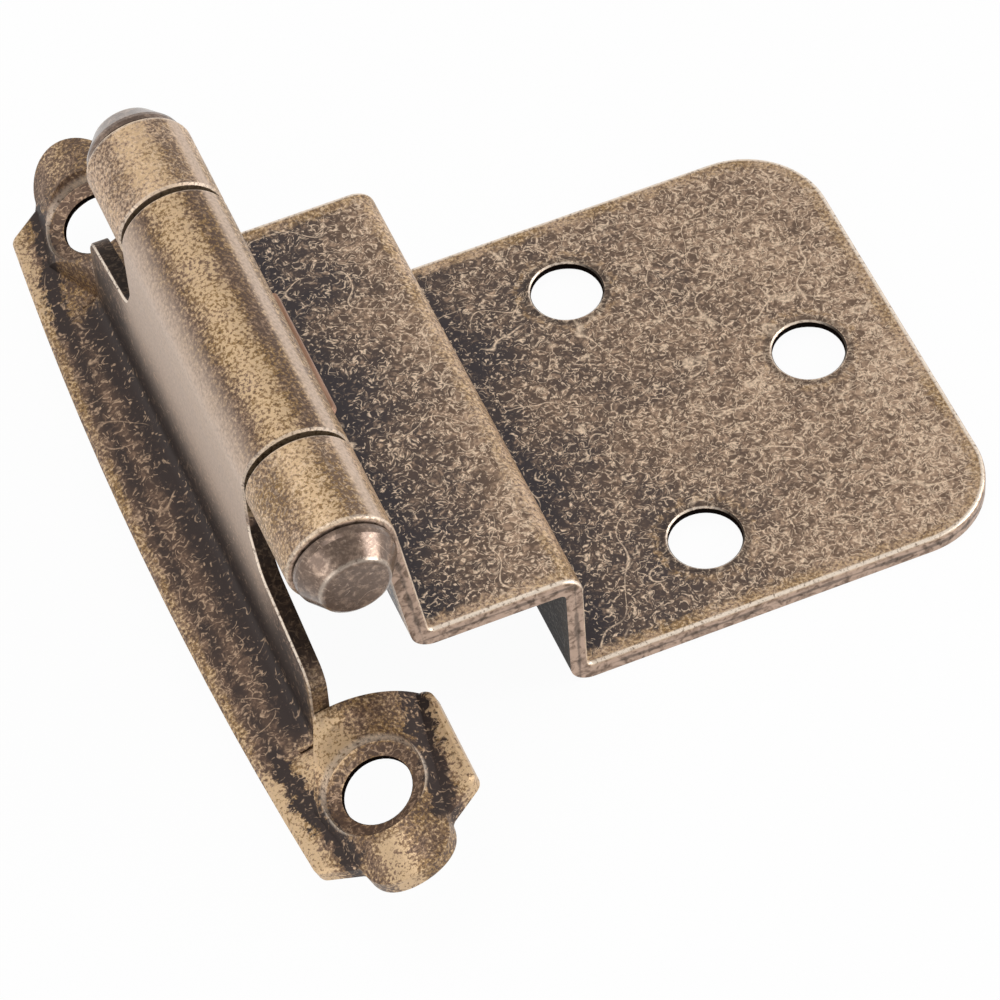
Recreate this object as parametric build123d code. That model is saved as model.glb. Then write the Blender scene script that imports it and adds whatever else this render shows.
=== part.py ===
from build123d import *
import math
import os

# Inset cabinet hinge: a door leaf folded around a lipped door, a frame leaf with finial ears,
# a headed pin through three knuckles, and a flat spring that closes the door.
# Frame: origin midway between the pair of door screws, on the face that seats on the door.
# X runs from the barrel to the tip of the plate, Y along the pin, Z up out of the seating face.

# Door leaf
leaf_sheet = 1.25
leaf_width = 36.0
plate_tip_from_pair = 19.4
plate_corner_radius = 6.0
step_from_pair = 11.0
step_height = 9.525
lip_width = 10.4
bend_radius = 0.4
screw_hole_diameter = 4.9
screw_sink_diameter = 6.0
screw_sink_depth = 0.7
hole_rim = 0.15
edge_roll = 0.3
pair_spacing = 23.2
tip_hole_from_pair = 12.7

# Barrel
pin_back_from_riser = 5.1
pin_above_lip_flat = 10.25
pin_diameter = 4.76
pin_hold_clearance = 0.02
pin_running_clearance = 0.07
center_knuckle_length = 21.6
center_knuckle_offset = 0.4
knuckle_gap = 0.4
knuckle_rim = 0.15
end_knuckle_wrap = 290.0
riser_cut_below_pin = 5.4
riser_cut_corner = 1.2

# Pin heads
head_diameter = 6.7
head_face_diameter = 4.5
head_land = 0.5
head_height = 2.2
head_edge_break = 0.15
head_gap = 0.15

# Frame leaf
wing_sheet = 1.2
wing_edge_break = 0.25
over_close_angle = 19.5
wing_below_pin = 12.85
wing_reach = 13.3
web_foot_from_pin = 8.4
web_bend_radius = 1.2
web_shoulder_above_wing = 5.85
web_shoulder_below_pin = 3.0
web_sag_below_pin = 5.4
web_sag_run = 1.4
web_corner_radius = 1.5
web_notch_radius = 0.8
web_sag_radius = 2.0
center_knuckle_end_angle = 33.0
ear_hole_spacing = 51.2
ear_line_from_pin = 6.25
ear_width = 11.6
ear_corner_from_hole = 2.8
ear_shoulder_from_hole = 4.2
ear_slot_from_hole = 5.6
ear_edge_from_hole = 4.8
ear_corner_radius = 0.8
finial_width = 6.2
finial_from_hole = 7.3
finial_notch_radius = 0.5
dome_slot_height = 2.8
dome_tip_height = 0.9
dome_slot_width = 10.0
dome_flare = 24.0
ear_hole_diameter = 4.7
ear_sink_diameter = 6.6
ear_sink_depth = 0.3
ear_dish_angle = 45.0
ear_dish_floor = 0.1
ear_pad_diameter = 8.8
ear_hole_land = 0.35
ear_relief_diameter = 6.3
groove_from_edge = 1.5
groove_width = 1.0
groove_depth = 0.3

# Closing spring
spring_thickness = 0.6
spring_length = 11.2
spring_shift = 0.7
spring_reach = 3.6
spring_tail = 5.0
spring_lead = 0.9
spring_bend_radius = 0.4
spring_seat_gap = 0.02
spring_corner_radius = 0.6
spring_clearance = 0.08
cam_flat_depth = 0.5

# Places that follow from the sizes above
pin_radius = pin_diameter / 2
end_knuckle_radius = pin_radius + pin_hold_clearance + leaf_sheet
center_knuckle_radius = pin_radius + pin_running_clearance + wing_sheet
leaf_half = leaf_width / 2
riser_x = -step_from_pair - lip_width
pin_x = riser_x - pin_back_from_riser
pin_z = step_height + pin_above_lip_flat
hole_y = ear_hole_spacing / 2
slot_y = hole_y - ear_slot_from_hole
tip_y = hole_y + finial_from_hole
wing_top = -wing_below_pin
spring_top = -(pin_radius + spring_clearance)
same_place = 0.001


def lean_to_touch(across, up, radius):
    # Lean from the vertical of a line that leaves a foot and touches a circle across and up from it.
    return math.degrees(math.atan2(across, up) - math.asin(radius / math.hypot(across, up)))


web_lean = lean_to_touch(web_foot_from_pin, wing_below_pin, center_knuckle_radius)


def folded_sheet(folds, curl, thickness, side, half_width):
    # The folds and the curl of one sheet, thickened to one side and drawn out both ways along Y.
    section = make_face(folds.offset_2d(thickness, side=side))
    section += make_face(curl.offset_2d(thickness, side=side))
    return extrude(Plane.XZ * section, amount=half_width, both=True)


def show_side_rims(sheet, folds, curl):
    # Edges across a bent sheet on its show side, which is the line that the sheet was drawn from.
    lines = [Plane.XZ * folds, Plane.XZ * curl]

    def on_line(edge):
        middle = edge @ 0.5
        return min(line.distance_to(Vector(middle.X, 0, middle.Z)) for line in lines) < same_place

    return sheet.edges().filter_by(Axis.Y, reverse=True).filter_by(on_line)


def make_door_leaf():
    lean = lean_to_touch(pin_back_from_riser, pin_above_lip_flat, end_knuckle_radius)
    curl = CenterArc((pin_x, pin_z), end_knuckle_radius, lean, end_knuckle_wrap)
    folds = FilletPolyline(
        (plate_tip_from_pair, 0),
        (-step_from_pair, 0),
        (-step_from_pair, step_height),
        (riser_x, step_height),
        curl @ 0,
        radius=[bend_radius, bend_radius + leaf_sheet, bend_radius],
    )
    leaf = folded_sheet(folds, curl, leaf_sheet, Side.LEFT, leaf_half)
    tip_corners = leaf.edges().filter_by(Axis.Z).group_by(Axis.X)[-1]
    leaf = fillet(tip_corners, plate_corner_radius)

    # The riser is cut away between the end knuckles, where the center knuckle turns.
    window = Rectangle(
        center_knuckle_length + 2 * knuckle_gap,
        riser_cut_below_pin + 2 * end_knuckle_radius,
        align=(Align.CENTER, Align.MIN),
    )
    window = fillet(window.vertices().group_by(Axis.Y)[0], riser_cut_corner)
    window_foot = (pin_x, center_knuckle_offset, pin_z - riser_cut_below_pin)
    window_plane = Plane(window_foot, x_dir=(0, 1, 0), z_dir=(1, 0, 0))
    leaf -= extrude(window_plane * window, amount=2 * end_knuckle_radius, both=True)

    # The rims of the window are broken, and the outline of the leaf is rolled over.
    rims = show_side_rims(leaf, folds, curl).filter_by(lambda e: (e @ 0.5).Z > step_height + bend_radius)
    leaf = chamfer(rims.filter_by(lambda e: abs((e @ 0.5).Y) < leaf_half - same_place), knuckle_rim)
    rims = show_side_rims(leaf, folds, curl)
    leaf = fillet(rims.filter_by(lambda e: abs((e @ 0.5).Y) > leaf_half - same_place), edge_roll)

    hole_radius = screw_hole_diameter / 2
    for x, y in [(0, pair_spacing / 2), (0, -pair_spacing / 2), (tip_hole_from_pair, 0)]:
        top = Pos(x, y, 0)
        leaf -= top * Cylinder(hole_radius, 4 * leaf_sheet)
        leaf -= top * Pos(0, 0, -hole_rim / 2) * Cone(hole_radius, hole_radius + hole_rim, hole_rim)
        sink = Cone(screw_sink_diameter / 2, hole_radius, screw_sink_depth)
        leaf -= top * Pos(0, 0, screw_sink_depth / 2 - leaf_sheet) * sink
    return leaf


def wing_plan(inner_x):
    # Plan of the frame wing: bowed outer edge, and at each end an ear with a finial between shoulders.
    outer_x = -ear_line_from_pin - ear_width / 2
    edge_x = -ear_line_from_pin + ear_width / 2
    neck_left = -ear_line_from_pin - finial_width / 2
    neck_right = -ear_line_from_pin + finial_width / 2
    corner_y = hole_y + ear_corner_from_hole
    neck_y = hole_y + ear_shoulder_from_hole
    bow = ThreePointArc((outer_x, -corner_y), (-wing_reach, 0), (outer_x, corner_y))
    edges = bow.edges() + Line((inner_x, slot_y), (inner_x, -slot_y)).edges()
    for s in (1, -1):
        tip = (-ear_line_from_pin, s * tip_y)
        finial = ThreePointArc((neck_left, s * neck_y), tip, (neck_right, s * neck_y))
        shoulder = Line((outer_x, s * corner_y), finial @ 0)
        free_corner = (edge_x, s * (hole_y - ear_edge_from_hole))
        ear = Polyline(finial @ 1, (edge_x, s * corner_y), free_corner, (inner_x, s * slot_y))
        edges += finial.edges() + shoulder.edges() + ear.edges()
    plan = make_face(edges)
    corners = plan.vertices().filter_by(
        lambda v: min(abs(v.X - outer_x), abs(v.X - edge_x)) < same_place
    )
    plan = fillet(corners, ear_corner_radius)
    necks = plan.vertices().filter_by(lambda v: abs(abs(v.Y) - neck_y) < same_place)
    return fillet(necks, finial_notch_radius)


def ear_dome(side):
    # A hollow swelling that falls from the web to the finial, with a flared wall beside the web.
    slot_radius = (dome_slot_width**2 / 4 + dome_slot_height**2) / (2 * dome_slot_height)
    axis_depth = slot_radius - dome_slot_height
    length = tip_y - slot_y
    fall = (dome_slot_height - dome_tip_height) / length
    past = ear_corner_radius
    swell = Cone(
        slot_radius,
        slot_radius - fall * (length + past),
        length + past,
        align=(Align.CENTER, Align.CENTER, Align.MIN),
    )
    swell = Rot(-90 * side, 0, 0) * swell
    swell = Pos(-ear_line_from_pin, side * slot_y, wing_top - axis_depth) * swell
    wall = Box(
        ear_width,
        4 * ear_width,
        4 * dome_slot_height,
        align=(Align.MAX, Align.CENTER, Align.CENTER),
    )
    foot = Pos(-web_foot_from_pin, side * slot_y, wing_top)
    return swell - foot * Rot(0, 0, side * dome_flare) * Rot(0, web_lean, 0) * wall


def make_frame_leaf():
    wrap = web_lean - 180 - center_knuckle_end_angle
    curl = CenterArc((0, 0), center_knuckle_radius, 180 - web_lean, wrap)
    bend_x = -web_foot_from_pin - web_bend_radius
    folds = FilletPolyline(
        (bend_x - web_bend_radius, wing_top),
        (-web_foot_from_pin, wing_top),
        curl @ 0,
        radius=web_bend_radius,
    )
    web = folded_sheet(folds, curl, wing_sheet, Side.RIGHT, slot_y)

    # Seen square on, the web rises from the ears in a sagging curve and steps in to the center knuckle.
    lean = math.radians(web_lean)
    web_foot = (-web_foot_from_pin, 0, wing_top)
    web_plane = Plane(web_foot, x_dir=(0, 1, 0), z_dir=(math.cos(lean), 0, -math.sin(lean)))
    half = center_knuckle_length / 2
    top = wing_below_pin + 3 * center_knuckle_radius
    shoulder_v = (wing_below_pin - web_shoulder_below_pin) / math.cos(lean)
    sag_v = (wing_below_pin - web_sag_below_pin) / math.cos(lean)
    corner_v = web_shoulder_above_wing / math.cos(lean)
    low = -4 * wing_sheet
    outline = Polyline(
        (0, top),
        (half, top),
        (half, shoulder_v),
        (half + web_sag_run, sag_v),
        (slot_y, corner_v),
        (slot_y, low),
        (0, low),
        close=True,
    )
    outline = make_face(outline)
    corner = outline.vertices().filter_by(lambda v: abs(v.Y - corner_v) < same_place)
    outline = fillet(corner, web_corner_radius)
    notch = outline.vertices().filter_by(lambda v: abs(v.Y - shoulder_v) < same_place)
    outline = fillet(notch, web_notch_radius)
    sag = outline.vertices().filter_by(lambda v: abs(v.Y - sag_v) < same_place)
    outline = fillet(sag, web_sag_radius)
    outline += mirror(outline, Plane.YZ)
    web &= extrude(web_plane * outline, amount=2 * web_foot_from_pin, both=True)
    rims = show_side_rims(web, folds, curl)
    web = chamfer(rims.filter_by(lambda e: abs((e @ 0.5).Y) < slot_y - same_place), knuckle_rim)

    plate_plan = wing_plan(bend_x)
    dome_plan = wing_plan(-web_foot_from_pin + wing_sheet / 2)
    leaf = Pos(0, 0, wing_top - wing_sheet) * extrude(plate_plan, amount=wing_sheet)
    top_edges = leaf.faces().sort_by(Axis.Z)[-1].edges()
    top_edges = top_edges.filter_by(lambda e: abs((e @ 0.5).X - bend_x) > same_place)
    leaf = chamfer(top_edges, wing_edge_break)

    # Each ear is domed over and hollow under, apart from a pad around its screw hole.
    tallest = wing_sheet + dome_slot_height
    over = Pos(0, 0, wing_top - wing_sheet / 3) * extrude(dome_plan, amount=tallest)
    under = Pos(0, 0, wing_top - 2 * wing_sheet) * extrude(plate_plan, amount=tallest + 2 * wing_sheet)
    for side in (1, -1):
        leaf += ear_dome(side) & over
    for side in (1, -1):
        pad = Cylinder(ear_pad_diameter / 2, 4 * tallest)
        pad = Pos(-ear_line_from_pin, side * hole_y, wing_top) * pad
        leaf -= (Pos(0, 0, -wing_sheet) * ear_dome(side) & under) - pad
    leaf += web

    # Screw holes in the ears: a shallow sink for the screw head at the bottom of a dish.
    dish_height = tallest
    sink_radius = ear_sink_diameter / 2
    dish_radius = sink_radius + dish_height * math.tan(math.radians(ear_dish_angle / 2))
    dish_foot = ear_dish_floor + ear_sink_depth
    for side in (1, -1):
        ear = Pos(-ear_line_from_pin, side * hole_y, wing_top)
        leaf -= ear * Cylinder(ear_hole_diameter / 2, 4 * dish_height)
        sink = Cone(ear_hole_diameter / 2, sink_radius, ear_sink_depth)
        leaf -= ear * Pos(0, 0, ear_dish_floor + ear_sink_depth / 2) * sink
        dish = Cone(sink_radius, dish_radius, dish_height)
        leaf -= ear * Pos(0, 0, dish_foot + dish_height / 2) * dish
        relief = Cylinder(
            ear_relief_diameter / 2,
            wing_sheet,
            align=(Align.CENTER, Align.CENTER, Align.MAX),
        )
        leaf -= ear * Pos(0, 0, ear_dish_floor - ear_hole_land) * relief

    # A shallow groove that follows the bowed outer edge of the wing.
    corner_y = hole_y + ear_corner_from_hole
    sag = wing_reach - ear_line_from_pin - ear_width / 2
    bow_radius = (corner_y**2 + sag**2) / (2 * sag)
    sweep = math.degrees(math.asin(hole_y / bow_radius))
    vee = Polygon((-groove_width / 2, 0), (0, -groove_depth), (groove_width / 2, 0), align=None)
    vee = Rot(0, 0, -sweep) * Plane.XZ * Pos(groove_from_edge - bow_radius, 0) * vee
    leaf -= Pos(bow_radius - wing_reach, 0, wing_top) * revolve(vee, Axis.Z, 2 * sweep)
    return leaf


def make_closing_spring():
    # A flat strip that crosses under the pin, with a tail that lies on the hidden face of the web.
    lean = math.radians(web_lean)
    back = (center_knuckle_radius - wing_sheet - spring_seat_gap) / math.cos(lean)
    tail_z = spring_top - spring_tail
    folds = FilletPolyline(
        (spring_reach, spring_top),
        (-back + spring_top * math.tan(lean), spring_top),
        (-back + tail_z * math.tan(lean), tail_z),
        radius=spring_bend_radius + spring_thickness,
    )
    section = make_face(folds.offset_2d(spring_thickness, side=Side.LEFT))
    strip = extrude(Plane.XZ * section, amount=spring_length / 2, both=True)
    nose = strip.edges().filter_by(Axis.Z).group_by(Axis.X)[-1].sort_by(Axis.Y)
    strip = chamfer(nose[1], spring_lead)
    nose = strip.edges().filter_by(Axis.Z).group_by(Axis.X)[-1].sort_by(Axis.Y)
    strip = fillet(nose[0], spring_corner_radius)
    return Pos(0, -spring_shift, 0) * strip


def make_hinge_pin():
    # A plain shank with a coned head outside each end knuckle.
    seat = leaf_half + head_gap
    end = seat + head_height
    half = Polyline(
        (0, 0),
        (pin_radius, 0),
        (pin_radius, seat),
        (head_diameter / 2, seat),
        (head_diameter / 2, seat + head_land),
        (head_face_diameter / 2, end),
        (0, end),
        close=True,
    )
    half = make_face(half)
    rims = half.vertices().filter_by(lambda v: v.X > same_place and v.Y > seat + same_place)
    half = chamfer(rims, head_edge_break)
    pin = revolve(half, Axis.Y)
    pin += mirror(pin, Plane.XZ)
    # The flat that the spring settles on when the door is shut.
    pin -= Pos(0, center_knuckle_offset - spring_shift, cam_flat_depth - pin_radius) * Box(
        pin_diameter,
        spring_length + 2 * knuckle_gap,
        pin_diameter,
        align=(Align.CENTER, Align.CENTER, Align.MAX),
    )
    return pin


door_leaf = make_door_leaf()
at_pin = Pos(pin_x, 0, pin_z) * Rot(0, -over_close_angle, 0)
swing = at_pin * Pos(0, center_knuckle_offset, 0)
frame_leaf = swing * make_frame_leaf()
closing_spring = swing * make_closing_spring()
hinge_pin = at_pin * make_hinge_pin()

os.makedirs("parts", exist_ok=True)
export_step(door_leaf, "parts/door_leaf.step")
export_step(frame_leaf, "parts/frame_leaf.step")
export_step(hinge_pin, "parts/hinge_pin.step")
export_step(closing_spring, "parts/closing_spring.step")
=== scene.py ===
import bpy
import math
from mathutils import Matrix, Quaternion, Vector


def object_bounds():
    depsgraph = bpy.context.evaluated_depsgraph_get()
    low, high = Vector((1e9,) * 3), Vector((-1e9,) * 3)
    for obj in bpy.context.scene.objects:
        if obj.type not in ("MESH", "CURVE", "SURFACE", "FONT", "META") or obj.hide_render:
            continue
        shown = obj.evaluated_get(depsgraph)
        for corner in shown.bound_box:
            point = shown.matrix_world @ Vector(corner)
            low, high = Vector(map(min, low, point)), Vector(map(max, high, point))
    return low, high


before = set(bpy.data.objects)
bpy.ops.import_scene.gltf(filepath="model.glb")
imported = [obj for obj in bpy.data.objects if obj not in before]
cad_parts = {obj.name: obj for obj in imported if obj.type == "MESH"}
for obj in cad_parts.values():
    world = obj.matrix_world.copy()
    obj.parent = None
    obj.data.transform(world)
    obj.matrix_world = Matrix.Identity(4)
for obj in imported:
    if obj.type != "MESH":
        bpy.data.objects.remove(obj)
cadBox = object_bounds()
print("frame loaded:", sorted(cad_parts))

mm = 0.001  # the frame is in metres, the values below in millimetres
noiseMiddle = 0.5  # a noise wanders about this value


def shade(red, green, blue):
    # a colour as the eye sees it, 0 to 255, turned into the linear colour that the shader wants
    return (*[((c / 255 + 0.055) / 1.055) ** 2.4 for c in (red, green, blue)], 1.0)


# small helpers for wiring a material

class Field:
    # a number that changes over a surface; arithmetic with it adds the nodes that work it out
    def __init__(self, nt, socket):
        self.nt = nt
        self.socket = socket

    def reckon(self, what, first, second=0.0):
        node = put(self.nt, "ShaderNodeMath", {0: first, 1: second}, operation=what)
        return Field(self.nt, node.outputs[0])

    def __add__(self, other):
        return self.reckon("ADD", self, other)

    def __radd__(self, other):
        return self.reckon("ADD", other, self)

    def __sub__(self, other):
        return self.reckon("SUBTRACT", self, other)

    def __rsub__(self, other):
        return self.reckon("SUBTRACT", other, self)

    def __mul__(self, other):
        return self.reckon("MULTIPLY", self, other)

    def __rmul__(self, other):
        return self.reckon("MULTIPLY", other, self)

    def __abs__(self):
        return self.reckon("ABSOLUTE", self)

    def root(self):
        return self.reckon("SQRT", self)

    def most(self, other):
        return self.reckon("MAXIMUM", self, other)

    def least(self, other):
        return self.reckon("MINIMUM", self, other)

    def below(self, limit):
        return self.reckon("LESS_THAN", self, limit)

    def above(self, limit):
        return self.reckon("GREATER_THAN", self, limit)

    def held(self):
        # keeps the sum just made between 0 and 1
        self.socket.node.use_clamp = True
        return self


def feed(nt, node, inputs):
    # each input takes a constant or the output of another node
    for key, value in inputs.items():
        source = value.socket if isinstance(value, Field) else value
        if isinstance(source, bpy.types.NodeSocket):
            nt.links.new(source, node.inputs[key])
        else:
            node.inputs[key].default_value = source


def put(nt, kind, inputs=None, **settings):
    node = nt.nodes.new(kind)
    for key, value in settings.items():
        setattr(node, key, value)
    feed(nt, node, inputs or {})
    return node


def vector(nt, what, first, second):
    return put(nt, "ShaderNodeVectorMath", {0: first, 1: second}, operation=what).outputs[0]


def scaled(nt, coords, factor):
    return put(nt, "ShaderNodeVectorMath", {0: coords, "Scale": factor}, operation="SCALE").outputs[0]


def split(nt, coords):
    axes = put(nt, "ShaderNodeSeparateXYZ", {0: coords}).outputs
    return [Field(nt, axis) for axis in axes]


def soften(nt, value, low, high):
    # 0 below low, 1 above high, smooth between
    ends = {"Value": value, "From Min": low, "From Max": high}
    return Field(nt, put(nt, "ShaderNodeMapRange", ends, interpolation_type="SMOOTHSTEP").outputs[0])


def band(nt, value, start, full, fade, end):
    # rises from start to full, falls from fade to end
    return soften(nt, value, start, full) - soften(nt, value, fade, end)


def profile(nt, value, stops):
    # a curve through (place, amount) stops
    low, high = stops[0][0], stops[-1][0]
    share = put(nt, "ShaderNodeMapRange", {"Value": value, "From Min": low, "From Max": high}).outputs[0]
    ramp = put(nt, "ShaderNodeValToRGB", {"Fac": share})
    marks = ramp.color_ramp.elements
    while len(marks) < len(stops):
        marks.new(0.5)
    for mark, (at, amount) in zip(marks, stops):
        mark.position = (at - low) / (high - low)
        mark.color = (amount, amount, amount, 1)
    return Field(nt, ramp.outputs[0])


def mixColour(nt, amount, first, second):
    return put(nt, "ShaderNodeMix", {0: amount, 6: first, 7: second}, data_type="RGBA").outputs[2]


def mixValue(nt, amount, first, second):
    return Field(nt, put(nt, "ShaderNodeMix", {0: amount, 2: first, 3: second}, data_type="FLOAT").outputs[0])


def grain(nt, coords, size, detail, rough, shift=(0, 0, 0)):
    # noise whose lumps are about size millimetres across
    moved = vector(nt, "ADD", coords, shift)
    lumps = {"Vector": moved, "Scale": 1 / size, "Detail": detail, "Roughness": rough}
    return Field(nt, put(nt, "ShaderNodeTexNoise", lumps).outputs[0])


def length(*parts):
    total = 0.0
    for part in parts:
        total = total + part * part
    return total.root()


def facing(nt, direction):
    # how squarely a face looks in a direction of its own piece, -1 to 1
    normal = put(nt, "ShaderNodeTexCoord").outputs["Normal"]
    dot = put(nt, "ShaderNodeVectorMath", {0: normal, 1: direction}, operation="DOT_PRODUCT")
    return Field(nt, dot.outputs["Value"])


def startFinish(name):
    material = bpy.data.materials.new(name)
    material.use_nodes = True
    nt = material.node_tree
    place = put(nt, "ShaderNodeTexCoord").outputs["Object"]
    return material, nt, scaled(nt, place, 1 / mm)


# aged brass under lacquer: a dark patina with curly scratches, rubbed bare along the edges; painted
# highlights, painted sheen and painted shade are laid into its colour as well

brass = {
    "charcoal": shade(66, 60, 62),
    "brown": shade(117, 95, 79),
    "rubbed": shade(189, 160, 135),
    "gold": shade(152, 121, 81),
    "tan": shade(255, 227, 197),
    "speckle": shade(217, 186, 148),
    # colours for the painted sheen, the sheared edge, the painted highlight, and the painted shade that also
    # colours the tear line
    "paintedSheen": shade(206, 184, 166),
    "cut": shade(190, 163, 144),
    "highlight": shade(240, 224, 206),
    "shadeAndTear": shade(22, 17, 15),
    "metallic": 0.85,
    "specular": 0.5,
    "roughness": 0.5,
    "scratchPolish": 0.12,  # scratches are this much smoother
    "coat": 0.15,
    "coatRoughness": 0.3,
    "bumpStrength": 0.3,
    "bumpHeight": 0.03,
    # noises: size in millimetres, detail, roughness
    "patches": (6.0, 4.0, 0.65),
    "patchDepth": 1.0,
    "dust": (0.22, 2.0, 0.65),
    "mottle": (0.55, 2.0, 0.6),
    "mottleShift": (7.3, 1.1, 4.4),
    "swirlSize": 0.9,
    "swirlDetail": 1.0,
    "swirlReach": 1.1,
    # scratches: size of the curls, width of the line, how much rarer than the wear alone would have it
    "scratches": [(1.9, 0.085, 0.0), (1.05, 0.09, -0.02), (0.65, 0.095, -0.02), (0.42, 0.095, -0.01)],
    "longScratches": (5.5, 0.1, -0.12),
    "scratchRarity": 0.64,
    "wearBringsScratches": 0.28,
    "scratchStrength": 1.0,
    "dustedScratches": 0.35,  # share of a scratch that still shows under dust
    "scratchDust": (0.3, 0.65),
    # how far the wear, the dust and the mottle carry each layer
    "brownFrom": (0.1, 0.7),
    "halfWorn": 0.5,
    "wearRubs": 0.4,
    "dustRubs": 0.6,
    "rubbedFrom": (0.4, 0.82),
    "goldToRubbed": (-0.12, 0.12),
    "lightFlecks": 0.1,
    "paleFlecks": (0.5, 0.63),
    "darkFlecks": (0.48, 0.36),
    "darkFleckAmount": 0.95,
    "goldScratches": 0.4,
    "mottleBares": 1.2,
    "bareFrom": (0.2, 0.7),
    "bareLeast": (0.02, 0.2),
    "sheenDust": (0.3, 0.6),
    "dustedSheen": 0.75,
    "cutMottle": (0.3, 0.6),
    "rimDust": (0.25, 0.5),
}

# how a scratch is drawn: the noise it follows, and the gaps that break its line up

curls = {
    "detail": 1.0,
    "roughness": 0.45,
    "steepness": 0.32,  # how fast the noise changes across the line
    "gapSize": 0.6,
    "gapDetail": 0.0,
    "gapRoughness": 0.5,
    "gapFade": 0.12,
    # where in the noise each layer of curls lies, and the long scratches
    "shift": (3.1, 8.7, 1.9),
    "shiftStep": 7.7,
    "longShift": (5.3, 2.9, 6.1),
}


def fibres(nt, coords, size, thick, rarity, shift):
    # short curly scratches: thin contour lines of a noise, broken up by a second one
    lumps = grain(nt, coords, size, curls["detail"], curls["roughness"], shift)
    away = abs(lumps - noiseMiddle)
    line = 1.0 - soften(nt, away, 0.0, curls["steepness"] * thick / size)
    gapSize = size * curls["gapSize"]
    gaps = grain(nt, coords, gapSize, curls["gapDetail"], curls["gapRoughness"], shift[::-1]) - rarity
    return line * soften(nt, gaps, 0.0, curls["gapFade"])


def scratchMarks(nt, coords, curled, wear, look):
    # the curls follow the swirl; a few long scratches run straighter
    layers = [(coords, look["longScratches"], curls["longShift"])]
    shiftX, shiftY, shiftZ = curls["shift"]
    for step, scratch in enumerate(look["scratches"]):
        layers.append((curled, scratch, (shiftX + curls["shiftStep"] * step, shiftY, shiftZ)))
    marks = 0.0
    for place, (size, thick, rarer), shift in layers:
        rarity = look["scratchRarity"] + rarer - wear * look["wearBringsScratches"]
        marks = fibres(nt, place, size, thick, rarity, shift).most(marks)
    return marks


def agedBrass(nt, coords, wear, bare=0.0, shadeAndTear=0.0, cut=0.0, highlight=0.0, paintedSheen=0.0, light=0.0, look=brass):
    # wear: 0 dark patina to 1 rubbed; bare: golden metal at edges; shadeAndTear: painted shade in holes, gaps
    # and hidden faces, and the dark tear line of a sheared edge; cut: sheared edge of the sheet; highlight:
    # painted highlight along rounded corners and edges; paintedSheen: painted pale reflection; light: painted
    # light and shade, as more pale or more dark speckle in the golden metal
    eddies = {"Vector": coords, "Scale": 1 / look["swirlSize"], "Detail": look["swirlDetail"]}
    swirl = put(nt, "ShaderNodeTexNoise", eddies).outputs["Color"]
    swirl = vector(nt, "SUBTRACT", swirl, (noiseMiddle, noiseMiddle, noiseMiddle))
    curled = vector(nt, "ADD", coords, scaled(nt, swirl, look["swirlReach"]))
    patches = grain(nt, curled, *look["patches"]) - noiseMiddle
    dust = grain(nt, coords, *look["dust"])
    mottle = grain(nt, curled, *look["mottle"], look["mottleShift"])
    wear = (wear + patches * look["patchDepth"]).held()
    strength = look["scratchStrength"]
    undusted = soften(nt, dust, *look["scratchDust"])
    marks = scratchMarks(nt, coords, curled, wear, look)
    marks = (marks * mixValue(nt, undusted, look["dustedScratches"] * strength, strength)).held()
    # patina: dark ground, rubbed spots, scratches
    colour = mixColour(nt, soften(nt, wear, *look["brownFrom"]), look["charcoal"], look["brown"])
    worn = mottle + (wear - look["halfWorn"]) * look["wearRubs"] + (dust - noiseMiddle) * look["dustRubs"]
    colour = mixColour(nt, soften(nt, worn, *look["rubbedFrom"]), colour, look["rubbed"])
    colour = mixColour(nt, marks, colour, look["tan"])
    # bare metal: golden with fine speckle, paler or darker where light and shade are painted
    golden = mixColour(nt, soften(nt, patches, *look["goldToRubbed"]), look["gold"], look["rubbed"])
    fleck = dust + light * look["lightFlecks"]
    golden = mixColour(nt, soften(nt, fleck, *look["paleFlecks"]), golden, look["speckle"])
    darkFleck = soften(nt, fleck, *look["darkFlecks"]) * look["darkFleckAmount"]
    golden = mixColour(nt, darkFleck, golden, look["brown"])
    golden = mixColour(nt, marks * look["goldScratches"], golden, look["tan"])
    rub = bare + (mottle - noiseMiddle) * look["mottleBares"]
    rub = soften(nt, rub, *look["bareFrom"]) * soften(nt, bare, *look["bareLeast"])
    colour = mixColour(nt, rub, colour, golden)
    # painted sheen, sheared edge, painted highlight, then painted shade and the dark tear line
    sheenShown = paintedSheen * mixValue(nt, soften(nt, dust, *look["sheenDust"]), look["dustedSheen"], 1.0)
    colour = mixColour(nt, sheenShown, colour, look["paintedSheen"])
    sheared = mixColour(nt, soften(nt, mottle, *look["cutMottle"]), look["brown"], look["cut"])
    colour = mixColour(nt, cut, colour, sheared)
    colour = mixColour(nt, highlight * soften(nt, dust, *look["rimDust"]), colour, look["highlight"])
    colour = mixColour(nt, shadeAndTear, colour, look["shadeAndTear"])
    clear = 1.0 - shadeAndTear
    bump = {"Strength": look["bumpStrength"], "Distance": look["bumpHeight"] * mm, "Height": dust}
    feed(nt, nt.nodes["Principled BSDF"], {
        "Base Color": colour,
        "Metallic": clear * look["metallic"],
        "Roughness": mixValue(nt, marks, look["roughness"], look["roughness"] - look["scratchPolish"]),
        "Specular IOR Level": clear * look["specular"],
        "Coat Weight": clear * look["coat"],
        "Coat Roughness": look["coatRoughness"],
        "Normal": put(nt, "ShaderNodeBump", bump).outputs[0],
    })


# barrel, shared by both leaves

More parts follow.
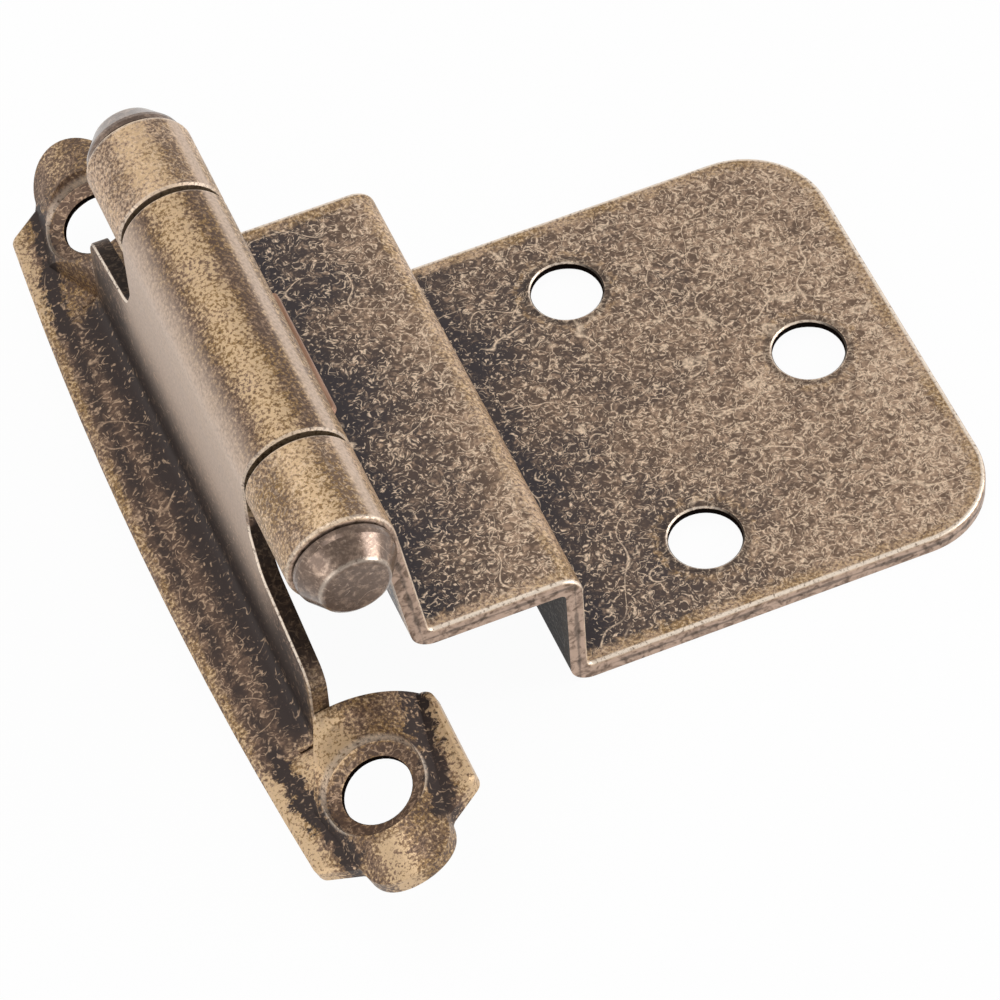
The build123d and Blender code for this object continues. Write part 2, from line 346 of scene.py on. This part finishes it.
barrel = {
    "pinX": -26.5,
    "pinZ": 19.775,
    "outside": 3.65,
    "centerOffset": 0.4,
    "centerHalf": 10.8,
    "gap": 0.4,
    # painted highlight this wide along the knuckle edges, and painted shade on their end faces
    "highlight": 0.15,
    "rimFade": 0.24,
    "rimEdge": 0.03,
    "rimBright": 0.45,
    "endFace": 0.02,  # this close to its end, the knuckle's end face begins
    "endDark": 0.7,
    # painted light: lengthwise stripes by the way the face turns across the barrel, a painted highlight on
    # top and painted shade at both sides of it, and a painted sheen band where it turns most to the side
    "stripeFacing": (0.969, 0, 0.248),
    "stripes": [
        ((-0.4, 0.0, 0.25, 0.5), 0.9),
        ((0.35, 0.58, 0.66, 0.78), -1.3),
        ((-0.85, -0.6, -0.45, -0.2), -0.8),
    ],
    "sheenBand": (0.7, 0.82, 0.88, 0.95),
    "sheenBandAmount": 0.85,
}


def barrelLightBands(nt):
    # painted highlight and shade stripes by the way each face turns, and the painted sheen band
    turned = facing(nt, barrel["stripeFacing"])
    light = 0.0
    for stripe, amount in barrel["stripes"]:
        light = light + band(nt, turned, *stripe) * amount
    paintedSheen = band(nt, turned, *barrel["sheenBand"]) * barrel["sheenBandAmount"]
    return light, paintedSheen


# door leaf

doorLook = {
    "halfWidth": 18.0,
    "tip": 19.4,
    "cornerRadius": 6.0,
    # wear along the sheet, from the barrel over the lip and the step to the tip of the plate
    "wearAlong": [(-60, 0.6), (-42, 0.6), (-36, 0.2), (-31, 0.0), (-28, 0.3), (-24, 0.5), (-21, 0.75),
                  (-17, 0.6), (-12, 0.1), (-10, 0.1), (-6, 0.35), (0, 0.5), (10, 0.6), (20, 0.75)],
    # distances in from the outline: bare edge, painted highlight on the rounded edge, sheared edge
    "bareIn": (2.0, 0.3),
    "rimIn": (0.39, 0.24, 0.12, 0.03),
    "cutIn": (0.09, 0.01),
    "edgeBare": 0.75,
    # the bend at the top of the step is rubbed bare as well
    "bend": (-23.0, -20.5, -19.6, -17.5),
    "bendBare": 0.9,
    "knuckleFade": (0.6, 0.1),
    # dark tear line along the middle of the sheared edge: plate, step, lip, riser
    "plateMid": -0.625,
    "stepMid": -11.625,
    "lipMid": 8.9,
    "riserMid": -22.0,
    "riserLean": 0.138,
    "riserFoot": 9.5,
    "tearGrain": (1.6, 3.0, 0.6),
    "tearRagged": 0.7,
    "tear": (0.2, 0.02),
    "tearDark": 0.55,
    # painted shade on hidden faces: the inside of the step, and the undersides up to the barrel
    "insideStepTop": 9.0,
    "underTop": 12.0,
    "hidden": (0.3, 0.7),
    "hiddenDark": 0.93,
    # screw holes, with bands by the distance out from the wall: golden ring, painted shade on the wall and
    # just outside it, painted highlight on the lip
    "holes": [(0.0, 11.6), (0.0, -11.6), (12.7, 0.0)],
    "holeRadius": 2.45,
    "holeTop": 1.0,
    "holeWall": 0.03,
    "holeRing": (0.4, 0.7, 0.9, 1.6),
    "holeRingBare": 0.35,
    "holeShade": (0.15, 0.25, 0.4, 0.7),
    "holeShadeDark": 0.45,
    "holeLip": (0.03, 0.06, 0.12, 0.17),
    "holeLipBright": 0.8,
}


def doorLeafFinish():
    look = doorLook
    material, nt, coords = startFinish("doorLeafBrass")
    x, y, z = split(nt, coords)
    along = x - z  # place along the unfolded sheet
    wear = profile(nt, along, look["wearAlong"])
    # reach comes to the corner radius at the outline of the plate
    corner = look["cornerRadius"]
    pastX = (x - (look["tip"] - corner)).most(0.0)
    pastY = (abs(y) - (look["halfWidth"] - corner)).most(0.0)
    reach = length(pastX, pastY)
    bare = soften(nt, reach, *[corner - far for far in look["bareIn"]]) * look["edgeBare"]
    # painted highlight along the rounded outline
    highlight = band(nt, reach, *[corner - far for far in look["rimIn"]])
    cut = soften(nt, reach, *[corner - far for far in look["cutIn"]])
    bare = bare.most(band(nt, along, *look["bend"]) * look["bendBare"])
    # end knuckles: bare all over, with painted light bands and a thin painted highlight at the edge beside
    # the center knuckle
    fromPin = length(x - barrel["pinX"], z - barrel["pinZ"])
    onBarrel = soften(nt, fromPin, *[barrel["outside"] + far for far in look["knuckleFade"]])
    bare = bare.most(onBarrel)
    light, paintedSheen = barrelLightBands(nt)
    light = light * onBarrel
    paintedSheen = paintedSheen * onBarrel
    inner = abs(y - barrel["centerOffset"]) - (barrel["centerHalf"] + barrel["gap"])
    innerHighlight = band(nt, inner, 0.0, barrel["rimEdge"], barrel["highlight"], barrel["rimFade"]) * onBarrel
    highlight = highlight.most(innerHighlight) * mixValue(nt, onBarrel, 1.0, barrel["rimBright"])
    # tear line
    lean = (z - look["riserFoot"]) * look["riserLean"]
    offLine = abs(z - look["plateMid"])
    for place, middle in ((x, "stepMid"), (z, "lipMid"), (x + lean, "riserMid")):
        offLine = offLine.least(abs(place - look[middle]))
    ragged = (grain(nt, coords, *look["tearGrain"]) - noiseMiddle) * look["tearRagged"]
    shadeAndTear = cut * (soften(nt, offLine + ragged, *look["tear"]) * look["tearDark"])
    # painted shade on hidden faces, knuckle bores and the end faces at the gaps
    under = facing(nt, (-1, 0, 0)) * z.below(look["insideStepTop"])
    under = under.most(facing(nt, (0, 0, -1)) * z.below(look["underTop"]))
    shadeAndTear = shadeAndTear.most(soften(nt, under, *look["hidden"]) * look["hiddenDark"])
    shadeAndTear = shadeAndTear.most(onBarrel * (inner.below(barrel["endFace"]) * barrel["endDark"]))
    onPlate = z.below(look["holeTop"])
    for holeX, holeY in look["holes"]:
        out = length(x - holeX, y - holeY) - look["holeRadius"]
        ring = onPlate * band(nt, out, *look["holeRing"])
        bare = bare.most(ring * look["holeRingBare"])
        # painted shade on the hole wall and just outside it, painted highlight on its lip
        wall = onPlate * out.below(look["holeWall"])
        shadow = onPlate * band(nt, out, *look["holeShade"])
        shadeAndTear = shadeAndTear.most(wall.most(shadow * look["holeShadeDark"]))
        lip = onPlate * band(nt, out, *look["holeLip"])
        highlight = highlight.most(lip * look["holeLipBright"])
    agedBrass(nt, coords, wear, bare, shadeAndTear, cut, highlight, paintedSheen, light)
    return material


# frame leaf, in its own directions: X across the wing, Y along the pin, Z out of the wing

frameLook = {
    "overClose": 19.5,
    "wingTop": -12.85,
    "farEnd": (0.0, 8.0),  # from here on, the end away from the camera
    "ear": (17.5, 21.5),
    # bowed edge, with distances in from it: bare edge, painted highlight on the ear borders, groove
    "bowRadius": 323.25,
    "bowReach": 13.3,
    "edgeBare": (1.3, 0.2),
    "edgePale": (1.8, 0.5),
    "groove": (0.9, 1.5, 1.7, 2.5),
    "wear": 0.55,
    "grooveWear": 0.25,
    # web: painted shade at its foot and low on its face, darker and with fewer scratches; a painted sheen
    # from above the foot to the side of the barrel
    "webFoot": -8.4,
    "webLean": 19.42,
    "valleyLine": (-8.8, -12.25),
    "valley": (2.2, 0.5),
    "valleyUp": (7.5, 2.0),
    "valleyShade": 0.6,
    "webFaces": (0.55, 1.0),
    "sheenUp": (1.5, 9.0),
    "sheenAlong": (15.5, 11.0),
    "sheenAmount": 0.9,
    "knuckleFade": (1.2, 0.2),
    # painted shade on the cut edge and back of the web, painted highlight at its show-side corner, by the
    # depth into the sheet
    "webSpan": (-11.35, -11.05, -2.6, -2.0),
    "webInside": (0.14, 0.2),
    "webInsideDark": 0.85,
    "webRim": (0.005, 0.03, 0.12, 0.16),
    # ears: painted shade in the valley where the dome meets the flat, golden finial, painted highlight on the
    # ridge, slope and borders, painted shade over the ears and more on the far one
    "earLine": -6.25,
    "earBare": 0.75,
    "domeStart": 20.0,
    "domeRadius": 5.86,
    "domeDepth": 3.06,
    "domeFall": 0.147,
    "domeGrain": (0.9, 3.0, 0.75),
    "domeUneven": 3.0,
    "domeFoot": (-1.1, -0.2, 0.1, 1.0),
    "domeFootShade": 0.5,
    "finial": (29.0, 30.4),
    "slope": (-1.8, 21.6),
    "slopePale": (3.2, 1.0),
    "ridgeAside": -0.7,
    "ridge": (1.5, 0.4),
    "farRidge": 0.5,
    "freeEdge": (-2.25, -0.85),
    "paleLight": 2.0,
    "earDarker": 0.6,
    "farEarDarker": 0.4,
    # screw holes in the ears: painted shade in the countersink and bore, painted highlight round the
    # countersink
    "holeY": 25.6,
    "holeWall": 2.38,
    "sink": (2.35, 2.55, 3.1, 3.3),
    "sinkBare": 0.45,
    "sinkRim": (3.25, 3.35, 3.4, 3.6),
    "sinkRimBright": 0.5,
    # painted shade on the underside
    "hidden": (0.3, 0.7),
    "hiddenTop": -9.35,
    "hiddenDark": 0.7,
    "brass": dict(
        brass,
        charcoal=shade(62, 52, 49),
        brown=shade(96, 76, 64),
        rubbed=shade(136, 110, 91),
        tan=shade(196, 166, 138),
        speckle=shade(214, 184, 146),
        patches=(3.5, 4.0, 0.65),
        patchDepth=0.8,
        scratches=[(1.3, 0.11, 0.0), (0.8, 0.12, 0.0), (0.5, 0.12, 0.0)],
    ),
}


def frameLeafFinish():
    look = frameLook
    material, nt, coords = startFinish("frameLeafBrass")
    tilt = math.radians(look["overClose"])
    lean = math.radians(look["webLean"])
    pinPlace = (barrel["pinX"], barrel["centerOffset"], barrel["pinZ"])
    turned = {"Vector": coords, "Location": pinPlace, "Rotation": (0, -tilt, 0)}
    own = put(nt, "ShaderNodeMapping", turned, vector_type="TEXTURE").outputs[0]
    x, signedY, z = split(nt, own)
    y = abs(signedY)
    farEnd = soften(nt, signedY, *look["farEnd"])
    ear = soften(nt, y, *look["ear"])
    notEar = 1.0 - ear
    above = z - look["wingTop"]
    # wing
    bowX = x - (look["bowRadius"] - look["bowReach"])
    inFrom = look["bowRadius"] - length(bowX, y)
    bare = soften(nt, inFrom, *look["edgeBare"])
    groove = band(nt, inFrom, *look["groove"])
    # web: painted shade at the foot, painted sheen on its face
    footX, footZ = look["valleyLine"]
    faces = soften(nt, facing(nt, (-1, 0, 0)), *look["webFaces"])
    valley = soften(nt, length(x - footX, z - footZ), *look["valley"])
    valley = valley.most(faces * soften(nt, above, *look["valleyUp"])) * notEar
    paintedSheen = faces * soften(nt, above, *look["sheenUp"]) * look["sheenAmount"]
    paintedSheen = paintedSheen * soften(nt, y, *look["sheenAlong"])
    wear = look["wear"] - groove * look["grooveWear"] - valley * look["valleyShade"]
    # center knuckle: painted highlight at its end edges, painted shade on its end faces
    onBarrel = soften(nt, length(x, z), *[barrel["outside"] + far for far in look["knuckleFade"]])
    bare = bare.most(onBarrel)
    end = barrel["centerHalf"]
    highlight = band(nt, y, end - barrel["rimFade"], end - barrel["highlight"], end - barrel["rimEdge"], end)
    highlight = onBarrel * highlight * barrel["rimBright"]
    shadeAndTear = onBarrel * (y.above(end - barrel["endFace"]) * barrel["endDark"])
    # ears: painted shade in the valley at the dome's foot, golden finial, painted highlight on pale places
    domeWide = look["domeRadius"] - (y - look["domeStart"]) * look["domeFall"]
    domeWide = (domeWide * domeWide - look["domeDepth"] ** 2).most(0.0).root()
    aside = x - look["earLine"]
    uneven = (grain(nt, coords, *look["domeGrain"]) - noiseMiddle) * look["domeUneven"]
    offDome = abs(aside) - domeWide + uneven
    finial = soften(nt, y, *look["finial"])
    domeFoot = ear * band(nt, offDome, *look["domeFoot"]) * (1.0 - finial)
    bare = bare.most(ear * look["earBare"]).most(finial)
    bare = (bare - domeFoot).held()
    wear = wear - domeFoot * look["domeFootShade"]
    slopeAside, slopeY = look["slope"]
    slope = length(aside - slopeAside, y - slopeY)
    pale = soften(nt, slope, *look["slopePale"]) * (1.0 - farEnd)
    ridge = soften(nt, abs(aside - look["ridgeAside"]), *look["ridge"])
    pale = pale.most(finial * mixValue(nt, farEnd, 1.0, look["farRidge"]) * ridge)
    pale = pale.most(ear * soften(nt, inFrom, *look["edgePale"]))
    pale = pale.most(ear * soften(nt, x, *look["freeEdge"]))
    # painted light: bands on the knuckle, painted highlight on the pale ear places, painted shade over the
    # ears and more on the far one
    light, strip = barrelLightBands(nt)
    light = light * onBarrel + ear * (pale * look["paleLight"] - look["earDarker"])
    light = light - ear * farEnd * look["farEarDarker"]
    paintedSheen = paintedSheen.most(strip * onBarrel)
    # screw holes: painted shade in the countersink and bore, painted highlight round it
    out = length(aside, y - look["holeY"])
    sink = band(nt, out, *look["sink"])
    bare = bare * (1.0 - sink * look["sinkBare"])
    light = light - sink
    highlight = highlight.most(band(nt, out, *look["sinkRim"]) * look["sinkRimBright"])
    shadeAndTear = shadeAndTear.most(out.below(look["holeWall"]))
    # painted shade on the cut edges and back of the web, with a painted highlight at the corner on the show
    # side
    inside = (x - look["webFoot"]) * math.cos(lean) - above * math.sin(lean)
    onWeb = band(nt, z, *look["webSpan"]) * notEar
    shadeAndTear = shadeAndTear.most(onWeb * soften(nt, inside, *look["webInside"]) * look["webInsideDark"])
    highlight = highlight.most(onWeb * band(nt, inside, *look["webRim"]))
    # painted shade on the underside
    under = facing(nt, (math.sin(tilt), 0, -math.cos(tilt)))
    under = soften(nt, under, *look["hidden"]) * z.below(look["hiddenTop"])
    shadeAndTear = shadeAndTear.most(under * look["hiddenDark"])
    agedBrass(nt, coords, wear, bare, shadeAndTear, 0.0, highlight, paintedSheen, light, look["brass"])
    return material


# hinge pin

pinLook = {
    "wear": 0.45,
    "shankEnd": (18.2, 18.1),  # painted shade on the shank inside the knuckles
    "faceEdge": (20.0, 20.15, 20.22, 20.32),  # painted highlight on the broken edge between cone and face
    "faceEdgeBright": 0.3,
    "brass": dict(
        brass,
        charcoal=shade(88, 72, 62),
        brown=shade(118, 97, 83),
        rubbed=shade(160, 136, 118),
        tan=shade(204, 178, 158),
        patches=(2.0, 4.0, 0.65),
        patchDepth=0.4,
        roughness=0.3,
        coat=0.5,
        coatRoughness=0.2,
        scratches=[(0.5, 0.09, 0.0)],
        scratchStrength=0.45,
    ),
}


def hingePinFinish():
    material, nt, coords = startFinish("hingePinBrass")
    y = abs(split(nt, coords)[1])
    shadeAndTear = soften(nt, y, *pinLook["shankEnd"])
    highlight = band(nt, y, *pinLook["faceEdge"]) * pinLook["faceEdgeBright"]
    agedBrass(nt, coords, pinLook["wear"], shadeAndTear=shadeAndTear, highlight=highlight, look=pinLook["brass"])
    return material


# closing spring

springLook = {
    "copper": shade(212, 178, 158),
    "dull": shade(184, 150, 131),
    "streaks": (0.5, 3.0, 0.6),
    "streakStretch": (1, 0.15, 1),  # drawn out along the pin
    "copperFrom": (0.35, 0.65),
    "metallic": 0.85,
    "roughness": 0.4,
}


def closingSpringFinish():
    look = springLook
    material, nt, coords = startFinish("closingSpringCopper")
    drawn = vector(nt, "MULTIPLY", coords, look["streakStretch"])
    shine = soften(nt, grain(nt, drawn, *look["streaks"]), *look["copperFrom"])
    feed(nt, nt.nodes["Principled BSDF"], {
        "Base Color": mixColour(nt, shine, look["dull"], look["copper"]),
        "Metallic": look["metallic"],
        "Roughness": look["roughness"],
    })
    return material


def dress(nodeName, material):
    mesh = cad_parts[nodeName].data
    mesh.materials.clear()
    mesh.materials.append(material)


dress("door_leaf", doorLeafFinish())
dress("frame_leaf", frameLeafFinish())
dress("hinge_pin", hingePinFinish())
dress("closing_spring", closingSpringFinish())
print("finishes made")

# camera, at the angle of the photograph

cameraSetup = {
    "lens": 197.88,
    "sensor": 36.0,
    "nearest": 10.0,
    "place": (-83.39, -213.88, 284.78),
    "lookAt": (-13.037, -9.032, 8.0),
    "roll": -4.607,
}


def makeCamera():
    camera = bpy.data.objects.new("camera", bpy.data.cameras.new("camera"))
    camera.data.lens = cameraSetup["lens"]
    camera.data.sensor_width = cameraSetup["sensor"]
    camera.data.clip_start = cameraSetup["nearest"] * mm
    place = Vector(cameraSetup["place"]) * mm
    lookAt = Vector(cameraSetup["lookAt"]) * mm
    roll = Quaternion((0, 0, 1), math.radians(cameraSetup["roll"]))
    camera.location = place
    camera.rotation_mode = "QUATERNION"
    camera.rotation_quaternion = (lookAt - place).to_track_quat("-Z", "Y") @ roll
    bpy.context.scene.collection.objects.link(camera)
    bpy.context.scene.camera = camera


# studio: pale floor, white surround that is greyer overhead, soft lamps; places in metres

studio = {
    "floorSize": 3.0,
    "floorBelow": 0.02 * mm,
    "floorPaint": (0.85, 0.85, 0.85, 1),
    "floorWhite": 0.96,  # share of plain white in the floor as the camera sees it; the rest shows the shadow
    "worldLight": 0.5,
    "surround": [(-1.0, 1.0), (0.3, 1.0), (0.75, 0.55), (1.0, 0.5)],  # brightness in reflections, by height
    "lamps": [
        {"name": "rightSoftbox", "place": (0.50, -0.17, 0.24), "size": 0.30, "power": 1.6},
        {"name": "topSoftbox", "place": (-0.15, 0.10, 0.60), "size": 0.40, "power": 0.9},
        {"name": "leftFill", "place": (-0.50, -0.25, 0.25), "size": 0.35, "power": 0.5},
    ],
}


def lightPaths(nt):
    # rays that the camera sends, and rays that metal mirrors or glass lets through
    rays = put(nt, "ShaderNodeLightPath").outputs
    mirrored = Field(nt, rays["Is Glossy Ray"]).most(rays["Is Transmission Ray"])
    return Field(nt, rays["Is Camera Ray"]), mirrored


def makeFloor():
    half = studio["floorSize"] / 2
    low = cadBox[0].z - studio["floorBelow"]
    corners = [(-half, -half, low), (half, -half, low), (half, half, low), (-half, half, low)]
    mesh = bpy.data.meshes.new("floor")
    mesh.from_pydata(corners, [], [(0, 1, 2, 3)])
    floor = bpy.data.objects.new("floor", mesh)
    bpy.context.scene.collection.objects.link(floor)
    material = bpy.data.materials.new("paleFloor")
    material.use_nodes = True
    nt = material.node_tree
    nt.nodes.clear()
    paint = put(nt, "ShaderNodeBsdfDiffuse", {"Color": studio["floorPaint"]}).outputs[0]
    glow = put(nt, "ShaderNodeEmission", {"Strength": 1.0}).outputs[0]
    seen, mirrored = lightPaths(nt)
    white = seen.most(mirrored) * studio["floorWhite"]
    surface = put(nt, "ShaderNodeMixShader", {0: white, 1: paint, 2: glow}).outputs[0]
    put(nt, "ShaderNodeOutputMaterial", {"Surface": surface})
    mesh.materials.append(material)


def makeWorld():
    world = bpy.data.worlds.new("surround")
    bpy.context.scene.world = world
    world.use_nodes = True
    nt = world.node_tree
    nt.nodes.clear()
    height = split(nt, put(nt, "ShaderNodeTexCoord").outputs["Generated"])[2]
    seen, mirrored = lightPaths(nt)
    strength = mixValue(nt, mirrored, studio["worldLight"], profile(nt, height, studio["surround"]))
    strength = mixValue(nt, seen, strength, 1.0)
    surface = put(nt, "ShaderNodeBackground", {"Color": (1, 1, 1, 1), "Strength": strength}).outputs[0]
    put(nt, "ShaderNodeOutputWorld", {"Surface": surface})


def makeLamps():
    for lamp in studio["lamps"]:
        data = bpy.data.lights.new(lamp["name"], "AREA")
        data.shape = "SQUARE"
        data.size = lamp["size"]
        data.energy = lamp["power"]
        light = bpy.data.objects.new(lamp["name"], data)
        light.location = lamp["place"]
        light.rotation_mode = "QUATERNION"
        light.rotation_quaternion = (-Vector(lamp["place"])).to_track_quat("-Z", "Y")
        bpy.context.scene.collection.objects.link(light)


makeCamera()
makeFloor()
makeWorld()
makeLamps()
bpy.context.scene.view_settings.view_transform = "Standard"
print("camera and studio set")
